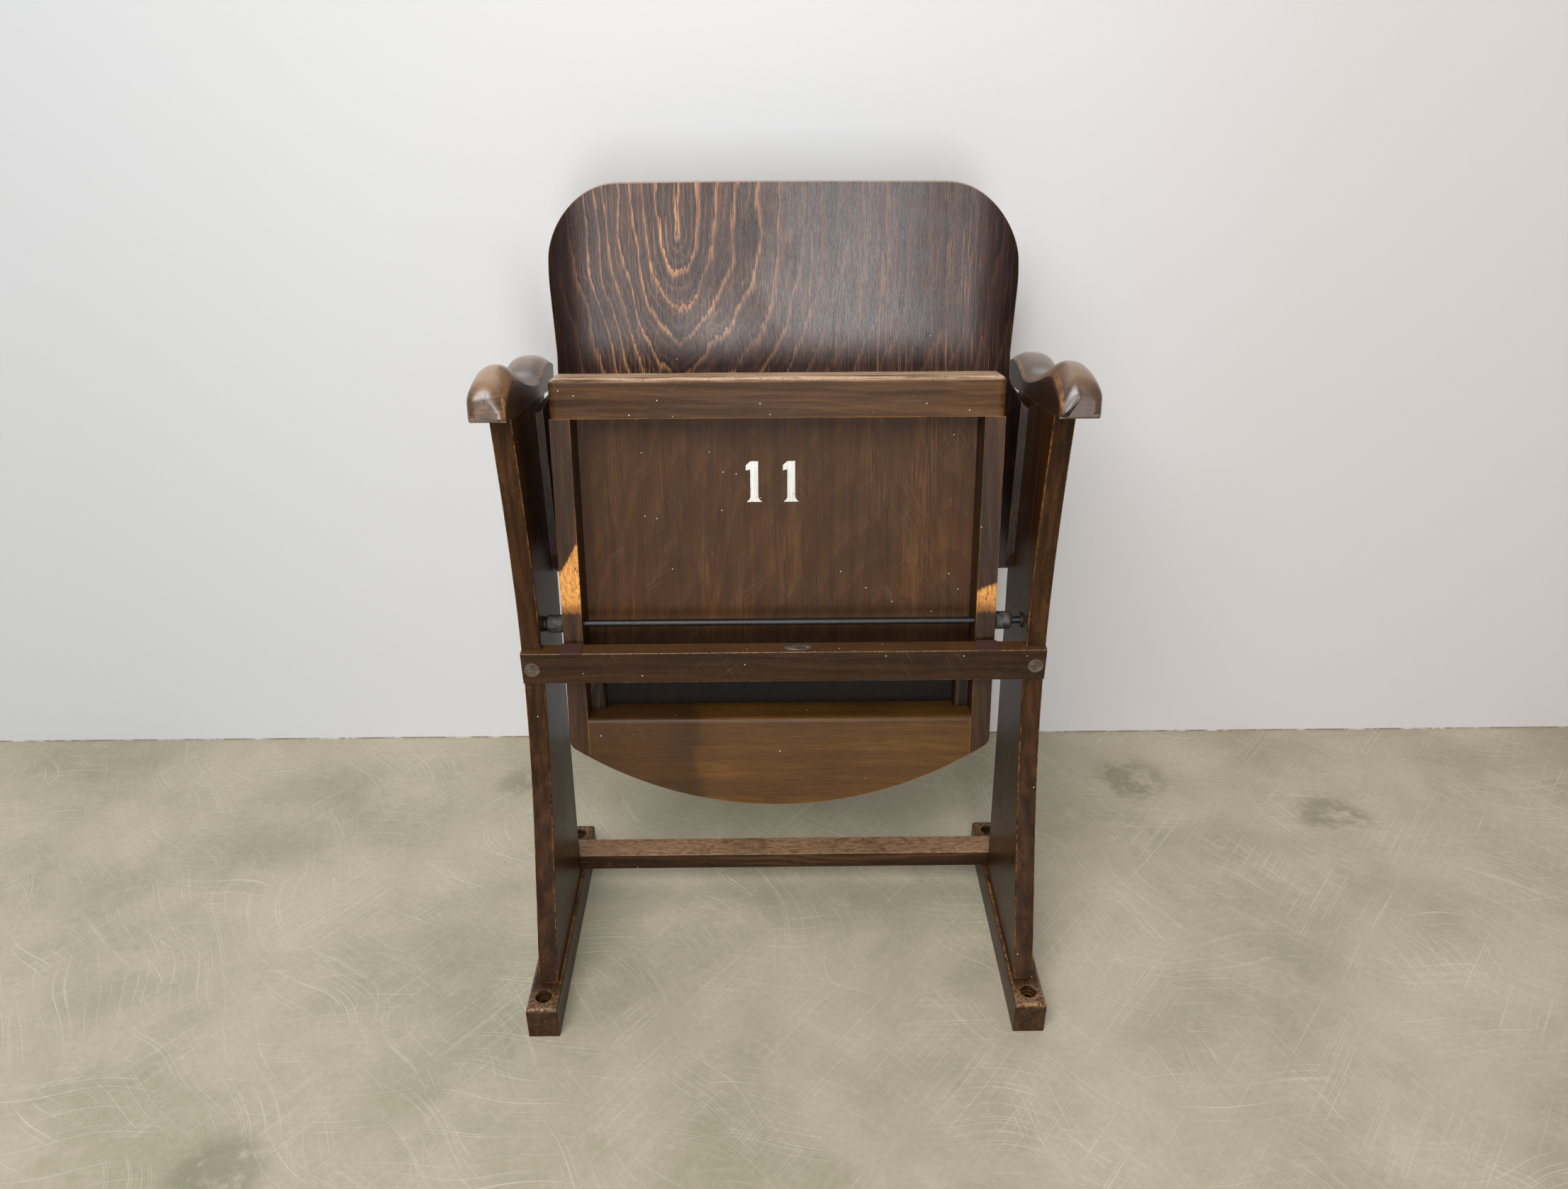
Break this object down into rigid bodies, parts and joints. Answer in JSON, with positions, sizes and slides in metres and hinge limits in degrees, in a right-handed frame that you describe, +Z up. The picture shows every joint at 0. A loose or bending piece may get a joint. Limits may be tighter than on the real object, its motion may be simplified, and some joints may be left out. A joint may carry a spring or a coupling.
{
  "type": "tip-up auditorium seat",
  "caption": "Wooden tip-up auditorium seat with bent-plywood back, carved armrests, floor feet and a counterweighted seat that folds up by itself.",
  "frame": {"origin": "on the floor, at the centre of the four floor-bolt holes", "axes": "+Z up; the sitter faces -Y; +X is the sitter's left, on the right of someone facing the seat"},
  "size_m": [0.5918, 0.3752, 0.8285],
  "materials": {
    "frame_wood": "dark stained beech, worn gloss",
    "armrest_wood": "dark stained beech, hand-worn gloss",
    "backrest_ply": "dark stained bent plywood, gloss",
    "seat_ply": "dark stained plywood, satin gloss",
    "seat_wood": "dark stained beech, satin gloss",
    "block_wood": "stained solid wood, satin",
    "dowel_wood": "raw",
    "steel": "plain",
    "black_rod": "black lacquer, worn",
    "bush_rubber": "matt",
    "pad_leather": "pressed flat, dark",
    "plate_metal": "tarnished, bare",
    "screw_steel": "darkened, stained over"
  },
  "bodies": {
    "frame": {"left_side_panel": "frame_wood", "right_side_panel": "frame_wood", "left_foot": "frame_wood", "right_foot": "frame_wood", "left_armrest": "armrest_wood", "right_armrest": "armrest_wood", "left_pivot_socket": "steel", "right_pivot_socket": "steel", "left_bush": "bush_rubber", "right_bush": "bush_rubber", "left_landing_pad": "pad_leather", "right_landing_pad": "pad_leather", "front_rail": "frame_wood", "rear_stretcher": "frame_wood", "oval_plate": "plate_metal", "oval_plate_pins": "plate_metal", "pivot_rod": "black_rod", "backrest": "backrest_ply", "front_rail_screws": "screw_steel", "stretcher_screws": "screw_steel", "backrest_screws": "screw_steel", "foot_screws": "screw_steel", "armrest_dowels": "dowel_wood"},
    "seat": {"seat_left_rail": "seat_wood", "seat_right_rail": "seat_wood", "left_rail_sleeve": "steel", "right_rail_sleeve": "steel", "seat_front_rail": "seat_wood", "seat_panel": "seat_ply", "counterweight_block": "block_wood", "counterweight_bar": "steel", "seat_corner_blocks": "seat_wood", "seat_rail_dowels": "dowel_wood", "counterweight_dowels": "dowel_wood"}
  },
  "joints": [
    {"name": "seat_tilt", "type": "hinge", "parent": "frame", "child": "seat", "pos_m": [0, 0.0248, 0.4146], "axis": [1, 0, 0], "range_deg": [0, 94.3]}
  ]
}
